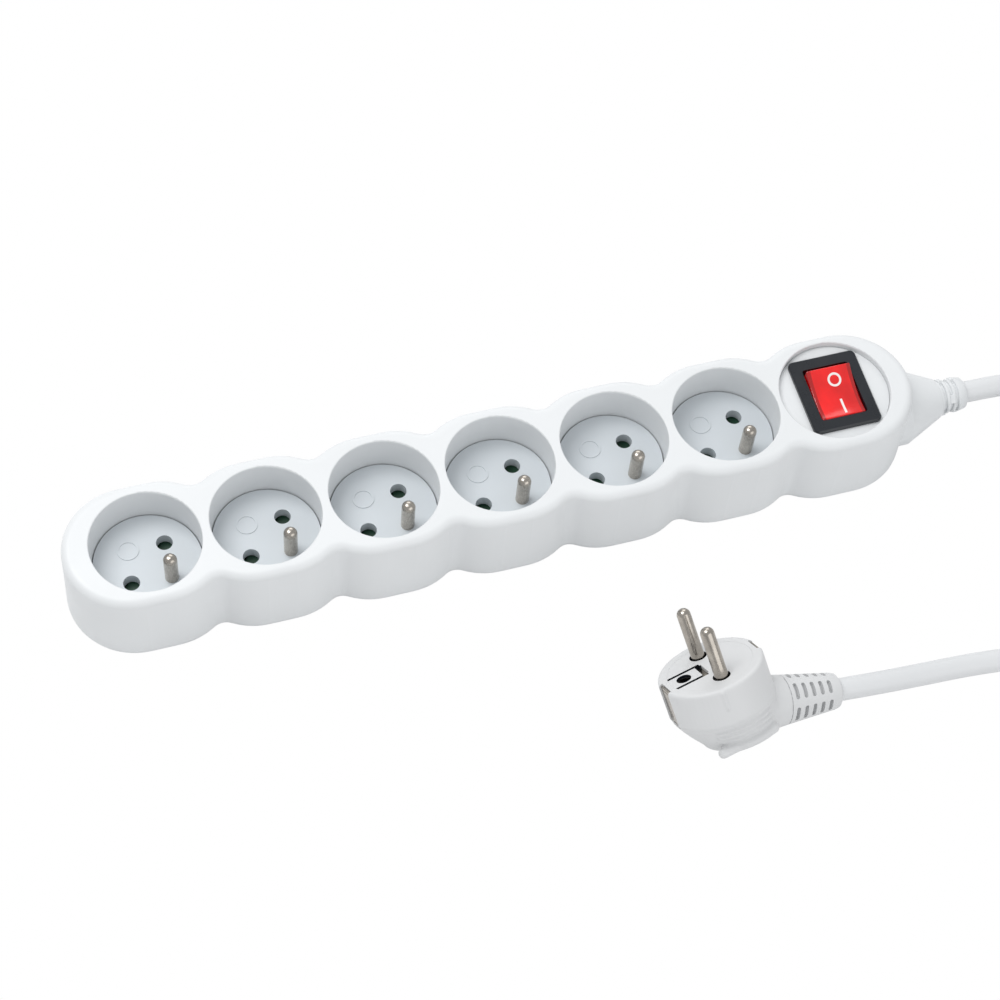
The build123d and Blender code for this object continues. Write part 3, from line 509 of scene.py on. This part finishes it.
PLUG_RADIUS, PLUG_STRAIGHT, PLUG_DEPTH = 18.5 * MM, 13.5 * MM, 28.0 * MM
BACK_HALF, BACK_LENGTH, BACK_SHIFT = 12.6 * MM, 14.6 * MM, -3.6 * MM
CORE_RADIUS, CORE_DEPTH = 15.0 * MM, 9.0 * MM
PIN_OFFSET, EARTH_OFFSET = 9.5 * MM, 10.0 * MM
PIN_RADIUS, PIN_LENGTH, PIN_ROOT = 2.4 * MM, 19.0 * MM, 12.0 * MM
FACE_EDGE, BACK_EDGE = 1.1 * MM, 2 * MM
TAPER_SECTIONS = 26
RIB_POINTS, RIB_START, RIB_STEP = 11, 8.5, 1.95
THIN_RIB, THICK_RIB, THICK_RIB_REACH = 0.7, 1.9, 11.2
SLOT_ROWS, SLOTS_IN_ROW, FIRST_SLOT, SLOT_PITCH = 6, 5, 2.2, 3.3
SLOT_TURN, SLOT_SHARE = 20, 0.66


def ring(shape, height, half_x, half_y, shift_y=0.0, segments=72, cap=False):
    """One oval section of a lofted skin; returns its edges."""
    made = bmesh.ops.create_circle(shape, cap_ends=cap, segments=segments, radius=1)["verts"]
    bmesh.ops.scale(shape, vec=(half_x, half_y, 1), verts=made)
    bmesh.ops.translate(shape, vec=(0, shift_y, height), verts=made)
    return edges_of(made)


def loft(shape, sections):
    """Skins a row of oval sections into a closed solid."""
    rings = [ring(shape, *section, cap=n in (0, len(sections) - 1)) for n, section in enumerate(sections)]
    for lower, upper in zip(rings, rings[1:]):
        bmesh.ops.bridge_loops(shape, edges=lower + upper)
    return shape


def plug_girth(depth):
    """Half sizes and shift of the plug's oval section at a depth, with the grip's hollow flanks."""
    share = (depth - PLUG_STRAIGHT) / (PLUG_DEPTH - BACK_EDGE - PLUG_STRAIGHT)
    grip = 1.0 * MM * min(1, max(0, share - 0.08) * 9) * min(1, max(0, 0.92 - share) * 5)
    half_x = PLUG_RADIUS + (BACK_HALF - PLUG_RADIUS) * share**1.15 - grip
    half_y = PLUG_RADIUS + (BACK_LENGTH - PLUG_RADIUS) * share**1.5
    return half_x, half_y, BACK_SHIFT * share


def plug_sections():
    """Sections of the plug's body from its rounded face edge, down its straight side, to its rounded back."""
    sections = []
    for part in range(5):
        angle = part * pi / 8
        inset = FACE_EDGE * (1 - sin(angle))
        sections.append((-FACE_EDGE * (1 - cos(angle)), PLUG_RADIUS - inset, PLUG_RADIUS - inset, 0))
    for part in range(TAPER_SECTIONS + 1):
        depth = PLUG_STRAIGHT + (PLUG_DEPTH - BACK_EDGE - PLUG_STRAIGHT) * part / TAPER_SECTIONS
        sections.append((-depth, *plug_girth(depth)))
    for part in range(1, 5):
        angle = part * pi / 8
        inset = BACK_EDGE * (1 - cos(angle))
        depth = PLUG_DEPTH - BACK_EDGE * (1 - sin(angle))
        sections.append((-depth, BACK_HALF - inset, BACK_LENGTH - inset, BACK_SHIFT))
    return sections


def capsule(shape, start, end, radius):
    """A round-ended bar between two points."""
    way = end - start
    bar = bmesh.ops.create_uvsphere(shape, u_segments=20, v_segments=12, radius=radius)["verts"]
    for vert in bar:
        vert.co.z += way.length if vert.co.z > 0 else 0
    turn = way.to_track_quat("Z", "X").to_matrix().to_4x4()
    bmesh.ops.transform(shape, matrix=Matrix.Translation(start) @ turn, verts=bar)


def make_plug_body():
    """The moulded body: barrel, neck, finger ribs on both flanks, pockets for the core and the straps."""
    shape = loft(bmesh.new(), plug_sections())
    girths = ((-8, 11), (0, 10.2), (4, 9.4), (9, 8.7))
    neck = loft(bmesh.new(), [(height * MM, radius * MM, radius * MM, 0) for height, radius in girths])
    bmesh.ops.transform(neck, matrix=Matrix.Translation(NECK_START) @ relief_turn, verts=neck.verts)
    take_in(shape, neck, "neck")
    ribs = [(depth, 0, THIN_RIB) for depth in (17.4, 19.8, 22.2)] + [(26.0, THICK_RIB_REACH, THICK_RIB)]
    for side in (1, -1):
        for depth, least, radius in ribs:
            half_x, half_y, shift = plug_girth(depth * MM)
            places = [(RIB_START - RIB_STEP * step) * MM for step in range(RIB_POINTS)]
            reach = [max(half_x * sqrt(1 - ((y - shift) / half_y) ** 2), least * MM) for y in places]
            row = [Vector((side * x, y, -depth * MM)) for x, y in zip(reach, places)]
            for start, end in zip(row, row[1:]):
                capsule(shape, start, end, radius * MM)
        ridge = Vector((side * 18.0, 4.0, -1.4)) * MM
        capsule(shape, ridge, ridge + Vector((0, 0, -6.0 * MM)), 0.55 * MM)
    body = finish_mesh("plug_body_moulding", shape, plug_plastic)
    fuse(body, 0.42 * MM, 3)
    outline = [(0, 1 * MM), (CORE_RADIUS, 1 * MM), (CORE_RADIUS, -CORE_DEPTH), (0, -CORE_DEPTH)]
    carve(body, lathe(bmesh.new(), outline, 96))
    slots = bmesh.new()
    for side in (1, -1):
        block(slots, Vector((0, side * 18.4, -6.4)) * MM, Vector((7.3, 3.6, 16.8)) * MM)
    carve(body, slots)
    body.data.transform(plug_axes)
    body.data.shade_smooth()
    body.data.set_sharp_from_angle(angle=radians(40))
    place(body, "strip", "plug_white", "plug_body")


def make_plug_core():
    """The round face: wide mouths round the pins, the earth hole, and slots beside and over the earth strap."""
    edge = 0.08 * MM
    bottom = -CORE_DEPTH + edge
    profile = [(0, 0), (CORE_RADIUS - edge, 0), (CORE_RADIUS, -edge), (CORE_RADIUS, bottom), (0, bottom)]
    core = finish_mesh("plug_core_moulding", lathe(bmesh.new(), profile, 96), plug_plastic)
    holes = bmesh.new()
    for x, y, radius, depth in ((PIN_OFFSET, 0, 3.1, 5), (-PIN_OFFSET, 0, 3.1, 5), (0, EARTH_OFFSET, 2.6, 8)):
        rod(holes, (x, y, 0), radius * MM, 2 * depth * MM)
    carve(core, holes)
    slots = ((3.95, 8.5, 0.6, 6.1, 7), (-3.95, 8.5, 0.6, 6.1, 7), (0, 3.1, 3.36, 1.2, 3))
    for x, y, half_x, half_y, depth in slots:
        slot = bmesh.new()
        block(slot, Vector((x, y, 0)) * MM, Vector((2 * half_x, 2 * half_y, 2 * depth)) * MM)
        carve(core, slot)
    # The faces inside the pin holes, the earth hole and the slots take the black plastic: painted shade in the
    # recesses.
    core.data.materials.append(black_plastic_and_hole_shade)
    for face in core.data.polygons:
        middle = face.center
        inside = middle.xy.length < CORE_RADIUS - 0.3 * MM and -CORE_DEPTH + 0.5 * MM < middle.z < -0.2 * MM
        face.material_index = 1 if inside else 0
    core.data.transform(plug_axes)
    core.data.set_sharp_from_angle(angle=radians(35))
    place(core, "strip", "plug_white", "plug_core")


def make_plug_straps():
    """The earth straps: one runs from the earth hole over the edge, and each has a springy leg down a side."""
    shape = bmesh.new()
    block(shape, Vector((0, 9.8, -1.6)) * MM, Vector((6.5, 15.6, 0.8)) * MM, 0.15 * MM, 2)
    for side in (1, -1):
        block(shape, Vector((0, side * 17.2, -7.3)) * MM, Vector((6.5, 0.8, 13.6)) * MM, 0.15 * MM, 2)
        for across in (1, -1):
            start = Vector((across * 1.6, side * 17.5, -3.2)) * MM
            capsule(shape, start, start + Vector((0, 0, -8.0 * MM)), 0.5 * MM)
    straps = finish_mesh("plug_straps", shape, nickel_plate)
    holes = bmesh.new()
    rod(holes, (0, EARTH_OFFSET, 0), 2.4 * MM, 6 * MM)
    carve(straps, holes)
    straps.data.transform(plug_axes)
    straps.data.set_sharp_from_angle(angle=radians(35))
    place(straps, "strip", "nickel", "plug_earth_straps")


def make_plug_pins():
    """Two turned pins, each with a round nose and a root inside the core."""
    for number, side in ((1, 1), (2, -1)):
        shape = lathe(bmesh.new(), round_nosed(PIN_RADIUS, -PIN_ROOT, PIN_LENGTH), 48)
        bmesh.ops.translate(shape, vec=(side * PIN_OFFSET, 0, 0), verts=shape.verts)
        bmesh.ops.transform(shape, matrix=plug_axes, verts=shape.verts)
        pin = finish_mesh(f"plug_pin_{number}_turned", shape, nickel_plate)
        place(pin, "strip", "nickel", f"plug_pin_{number}")


def round_nosed(radius, bottom, top, parts=10):
    """The profile of a pin with a domed nose."""
    points = [(0, bottom), (radius, bottom)]
    for part in range(parts + 1):
        angle = part / parts * pi / 2
        points.append((radius * cos(angle), top - radius * 0.95 * (1 - sin(angle))))
    points[-1] = (0, top)
    return points


def make_plug_relief():
    """The plug's strain relief: a tapering sleeve with rows of slots and a rounded mouth."""
    outside = ((8.65, 0), (8.6, 0.8), (6.75, 15.8), (6.45, 18.4), (6.0, 19.9), (5.2, 20.5))
    profile = [(CORD_BORE, 0)] + [(radius * MM, along * MM) for radius, along in outside]
    profile.append((CORD_BORE, RELIEF_LENGTH))
    relief = finish_mesh("plug_relief", lathe(bmesh.new(), profile, 96), relief_rubber)
    cutters = bmesh.new()
    for row in range(SLOT_ROWS):
        turn = Matrix.Rotation(radians(SLOT_TURN + 360 / SLOT_ROWS * row), 4, "Z")
        for number in range(SLOTS_IN_ROW):
            along = (FIRST_SLOT + number * SLOT_PITCH) * MM
            radius = (8.6 - 1.9 * along / (16.0 * MM)) * MM
            length = SLOT_SHARE * 2 * pi * radius / SLOT_ROWS
            made = block(cutters, (radius, 0, along), (4.4 * MM, length, 1.5 * MM), 0.6 * MM, 2)
            bmesh.ops.transform(cutters, matrix=turn, verts=made)
    carve(relief, cutters)
    relief.data.transform(relief_axes @ Matrix.Translation((0, 0, NECK_LENGTH)))
    relief.data.set_sharp_from_angle(angle=radians(35))
    place(relief, "strip", "plug_white", "plug_strain_relief")


make_plug_body()
make_plug_core()
make_plug_straps()
make_plug_pins()
make_plug_relief()


# ---- cord -------------------------------------------------------------------------------------
def make_cord():
    """The whole free cord as one spline: out of the gland, round its coil and into the plug."""
    inside_gland = (CORD_EXIT[0] - 5.0, CORD_EXIT[1], CORD_EXIT[2])
    inside_relief = relief_axes @ Vector((0, 0, NECK_LENGTH + RELIEF_LENGTH - 5 * MM))
    points = [Vector(p) * MM for p in [inside_gland] + lead_route + coil_route() + tail_route]
    points += [cord_end, inside_relief]
    curve = bpy.data.curves.new("cord", "CURVE")
    curve.dimensions = "3D"
    curve.bevel_depth = CORD / 2
    curve.bevel_resolution = 8
    curve.resolution_u = 6
    curve.use_fill_caps = True
    spline = curve.splines.new("NURBS")
    spline.points.add(len(points) - 1)
    for target, point in zip(spline.points, points):
        target.co = (*point, 1)
    spline.order_u = 3
    spline.use_endpoint_u = True
    curve.materials.append(cord_sheathing)
    cord = bpy.data.objects.new("cord", curve)
    bpy.context.scene.collection.objects.link(cord)
    place(cord, "strip", "cord_white", "cord_lead", "cord_coil", "cord_tail")
    names = ["plug_body_moulding", "plug_core_moulding", "plug_straps"]
    names += ["plug_pin_1_turned", "plug_pin_2_turned", "plug_relief", "cord_tie_band"]


def make_tie():
    """The hook-and-loop band round the coil."""
    low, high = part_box("cord_tie")
    middle, size = (low + high) / 2, high - low
    wall = 0.6 * MM
    shape = bmesh.new()
    block(shape, middle, size, 3.0 * MM, 6)
    band = finish_mesh("cord_tie_band", shape, tie_tape)
    inner = bmesh.new()
    block(inner, middle, size + Vector((-2 * wall, 8 * MM, -2 * wall)), 2.4 * MM, 6)
    carve(band, inner)
    place(band, "strip", "tie_black", "cord_tie")


make_tie()
make_cord()


# ---- cable gland ------------------------------------------------------------------------------
def make_gland():
    """The strip's own strain relief: a sleeve with rings joined by staggered bars, and a thick end ring."""
    low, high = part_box("cable_gland")
    boss_end, mouth = 168.3 * MM, high.x
    neck_radius, flange, flange_wall, round_off = 5.2 * MM, 7.0 * MM, 1.6 * MM, 0.3
    length = mouth - boss_end
    inside = boss_end - low.x
    rings = ((0.0, 1.6, 6.4, 6.3), (2.7, 4.0, 6.3, 6.2), (5.1, 6.3, 6.2, 6.1), (7.3, 10.6, 6.3, 5.8))
    profile = [(CORD_BORE, -inside), (flange, -inside)]
    profile += [(flange, flange_wall - inside), (neck_radius, flange_wall - inside)]
    for start, end, first, second in rings:
        profile.append((neck_radius, start * MM))
        profile.append(((first - round_off) * MM, start * MM))
        profile.append((first * MM, (start + round_off) * MM))
        profile.append((second * MM, (end - round_off) * MM))
        profile.append(((second - round_off) * MM, end * MM))
        profile.append((neck_radius if end * MM < length - 1e-6 else CORD_BORE, end * MM))
    shape = lathe(bmesh.new(), profile, 72)
    for gap, ((_, start, first, _), (end, *_)) in enumerate(zip(rings, rings[1:])):
        for quarter in range(2):
            turn = Matrix.Rotation(radians(90 * gap + 180 * quarter + 45), 4, "Z")
            centre = (first * 0.86 * MM, 0, (start + end) / 2 * MM)
            made = block(shape, centre, ((first - 5.0) * 1.6 * MM, 3.0 * MM, (end - start + 0.5) * MM))
            bmesh.ops.transform(shape, matrix=turn, verts=made)
    start = Vector((boss_end, 0, CORD_EXIT[2] * MM))
    along_strip = basis(start, Vector((0, 1, 0)), Vector((0, 0, 1)), Vector((1, 0, 0)))
    bmesh.ops.transform(shape, matrix=along_strip, verts=shape.verts)
    place(finish_mesh("cable_gland_rings", shape, gland_rubber), "strip", "cord_white", "cable_gland")


make_gland()

# ---- switch -----------------------------------------------------------------------------------
ROCKER_PIVOT = Vector((SWITCH_X, 0, 31.8)) * MM
ROCKER_WIDTH, ROCKER_HALF = 16.6 * MM, 9.7 * MM
ROCKER_VALLEY, ROCKER_SKIRT = 4.0 * MM, 1.0 * MM
ROCKER_BELLY, ROCKER_BELLY_HALF = 3.2 * MM, 4 * MM
PIVOT_RADIUS, PIVOT_PROUD = 1.5 * MM, 2.6 * MM
MARK_ACROSS, OFF_MARK_Y, ON_MARK_Y = 1.2, 4.9, -5.6
ROCKER_ANGLE = radians(10)
rocker_turn = Matrix.Translation(ROCKER_PIVOT) @ Matrix.Rotation(ROCKER_ANGLE, 4, "X")


def rocker_top(y):
    """Height of the rocker's top over its pivot: two slopes, each a little dished, with a soft valley."""
    reach = abs(y) / ROCKER_HALF
    slope = ROCKER_HALF * tan(ROCKER_ANGLE)
    dish = 0.45 * MM * sin(pi * reach)
    return ROCKER_VALLEY + slope * reach - dish


def make_rocker():
    """The red lens: dished top, rounded edges, pivots, and a skirt."""
    shape = bmesh.new()
    outline = [(-ROCKER_HALF, -ROCKER_SKIRT), (-ROCKER_BELLY_HALF, -ROCKER_BELLY)]
    outline += [(ROCKER_BELLY_HALF, -ROCKER_BELLY), (ROCKER_HALF, -ROCKER_SKIRT)]
    steps = 24
    for step in range(steps + 1):
        y = ROCKER_HALF * (1 - 2 * step / steps)
        outline.append((y, rocker_top(y)))
    verts = [shape.verts.new((-ROCKER_WIDTH / 2, y, z)) for y, z in outline]
    face = shape.faces.new(verts)
    moved = bmesh.ops.extrude_face_region(shape, geom=[face])["geom"]
    far_side = [part for part in moved if isinstance(part, bmesh.types.BMVert)]
    bmesh.ops.translate(shape, vec=(ROCKER_WIDTH, 0, 0), verts=far_side)
    crisp = [edge for edge in shape.edges if edge.calc_face_angle(0) > radians(30)]
    bmesh.ops.bevel(
        shape,
        geom=crisp,
        offset=0.45 * MM,
        offset_type="OFFSET",
        segments=4,
        profile=0.5,
        affect="EDGES",
        material=-1,
        clamp_overlap=True,
    )
    pivots = rod(shape, (0, 0, 0), PIVOT_RADIUS, ROCKER_WIDTH + PIVOT_PROUD, 32)
    bmesh.ops.rotate(shape, cent=(0, 0, 0), matrix=Matrix.Rotation(pi / 2, 3, "Y"), verts=pivots)
    bmesh.ops.transform(shape, matrix=rocker_turn, verts=shape.verts)
    place(finish_mesh("rocker_lens", shape, red_lens, 40), "rocker", "rocker_red", "switch_rocker")


def make_marks():
    """The off ring on the raised half and the on bar on the pressed half, printed proud of the lens."""
    shape = bmesh.new()
    height = 0.06 * MM
    inner, outer = 1.75 * MM, 2.55 * MM
    ring_mark = lathe(bmesh.new(), [(inner, -height), (outer, -height), (outer, height), (inner, height)], 48)
    bmesh.ops.translate(ring_mark, vec=(MARK_ACROSS * MM, OFF_MARK_Y * MM, 0), verts=ring_mark.verts)
    take_in(shape, ring_mark, "ring_mark")
    bar = block(shape, Vector((MARK_ACROSS, ON_MARK_Y, 0)) * MM, (0.85 * MM, 5.9 * MM, 2 * height))
    lengthwise = [edge for edge in edges_of(bar) if abs(edge.verts[0].co.y - edge.verts[1].co.y) > MM]
    bmesh.ops.subdivide_edges(shape, edges=lengthwise, cuts=12)
    for vert in shape.verts:
        vert.co.z += rocker_top(vert.co.y)
    bmesh.ops.transform(shape, matrix=rocker_turn, verts=shape.verts)
    place(finish_mesh("rocker_marks", shape, mark_paint), "rocker", "rocker_red")


make_rocker()
make_marks()


# ---- shutter springs --------------------------------------------------------------------------
def make_springs():
    """A wound spring behind each shutter."""
    coils, wire, steps = 9, 0.26 * MM, 22
    coil_radius, length = 1.22 * MM, 10.8 * MM
    away = Vector((-sin(SOCKET_TURN), cos(SOCKET_TURN), 0))
    for number in sockets:
        low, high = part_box(f"shutter_spring_{number}")
        middle = (low + high) / 2
        shape = bmesh.new()
        section = bmesh.ops.create_circle(shape, cap_ends=True, segments=8, radius=wire)["verts"]
        bmesh.ops.rotate(shape, cent=(0, 0, 0), matrix=Matrix.Rotation(pi / 2, 3, "X"), verts=section)
        bmesh.ops.translate(shape, vec=(coil_radius, 0, wire), verts=section)
        bmesh.ops.spin(
            shape,
            geom=shape.verts[:] + shape.edges[:] + shape.faces[:],
            cent=(0, 0, 0),
            axis=(0, 0, 1),
            dvec=(0, 0, (length - 2 * wire) / (coils * steps)),
            angle=2 * pi * coils,
            steps=coils * steps,
            use_merge=False,
        )
        start = middle - away * length / 2
        side = away.cross(Vector((0, 0, 1)))
        bmesh.ops.transform(shape, matrix=basis(start, side, away.cross(side), away), verts=shape.verts)
        spring = finish_mesh(f"wound_spring_{number}", shape, spring_steel, 60)
        place(spring, "strip", "spring_steel", f"shutter_spring_{number}")
        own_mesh(spring)


make_springs()
